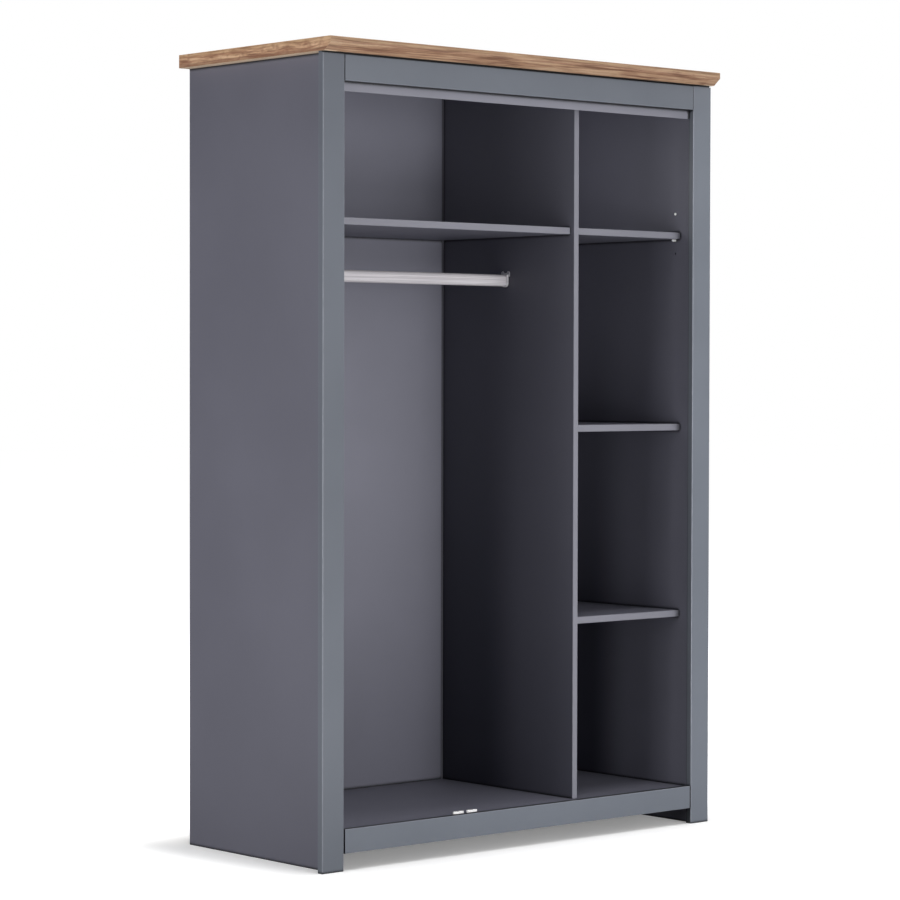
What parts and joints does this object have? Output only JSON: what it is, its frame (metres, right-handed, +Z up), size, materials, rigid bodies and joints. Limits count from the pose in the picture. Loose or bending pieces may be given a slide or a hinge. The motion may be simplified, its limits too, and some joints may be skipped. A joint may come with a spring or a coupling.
{
  "type": "sliding door wardrobe",
  "caption": "Tall sliding door wardrobe carcass shown without its doors: framed front, oak-effect top, divider, shelves, hanging rail, door track and floor guides.",
  "frame": {"origin": "centre of the footprint at floor level", "axes": "+Z up, +Y from the open front to the back, +X to the right seen from the front"},
  "size_m": [1.204, 0.55, 1.81],
  "materials": {
    "oak_board": "oak-effect foil on chipboard, satin, grain along each edge",
    "front_foil": "slate grey-blue matt foil on board",
    "carcass_foil": "dark grey melamine on chipboard, matt",
    "edge_foil": "dark grey melamine on chipboard, matt",
    "back_board": "thin grey-faced hardboard",
    "rail_metal": "satin anodised tube",
    "zinc_metal": "zinc plated",
    "track_metal": "extruded, satin",
    "white_plastic": "moulded",
    "grey_plastic": "moulded",
    "beech": "plain beech, unfinished"
  },
  "bodies": {
    "carcass": {"top_board": "oak_board", "stile_left": "front_foil", "stile_right": "front_foil", "fascia_rail": "front_foil", "plinth_rail": "front_foil", "side_panel_left": "carcass_foil", "side_panel_right": "carcass_foil", "ceiling_panel": "carcass_foil", "floor_panel": "carcass_foil", "divider_panel": "carcass_foil", "fascia_strip": "edge_foil", "fascia_strip_screws": "zinc_metal", "hat_shelf": "carcass_foil", "shelf_middle": "carcass_foil", "shelf_lower": "carcass_foil", "back_panel_left": "back_board", "back_panel_right": "back_board", "back_joint_strip": "grey_plastic", "rail_socket_left": "zinc_metal", "rail_socket_right": "zinc_metal", "rail_socket_screws": "zinc_metal", "floor_guide_left": "white_plastic", "floor_guide_right": "white_plastic", "floor_guide_screws": "zinc_metal", "door_track": "track_metal", "door_track_screws": "zinc_metal", "shelf_pins": "white_plastic", "hole_caps": "white_plastic", "cam_locks": "zinc_metal", "cam_bolts": "zinc_metal", "dowels": "beech", "top_screws": "zinc_metal", "back_nails": "zinc_metal", "plinth_blocks": "beech", "plinth_block_screws": "zinc_metal", "centre_leg": "grey_plastic", "centre_leg_foot": "grey_plastic", "centre_leg_screws": "zinc_metal", "wall_brackets": "zinc_metal", "wall_bracket_screws": "zinc_metal"},
    "adjustable_shelf": {"shelf_upper": "carcass_foil"},
    "clothes_rail": {"hanging_rail": "rail_metal"}
  },
  "joints": [
    {"name": "shelf_lift", "type": "slide", "parent": "carcass", "child": "adjustable_shelf", "axis": [0, 0, 1], "range_m": [0, 0.03]},
    {"name": "rail_lift", "type": "slide", "parent": "carcass", "child": "clothes_rail", "axis": [0, 0, 1], "range_m": [0, 0.03]}
  ]
}
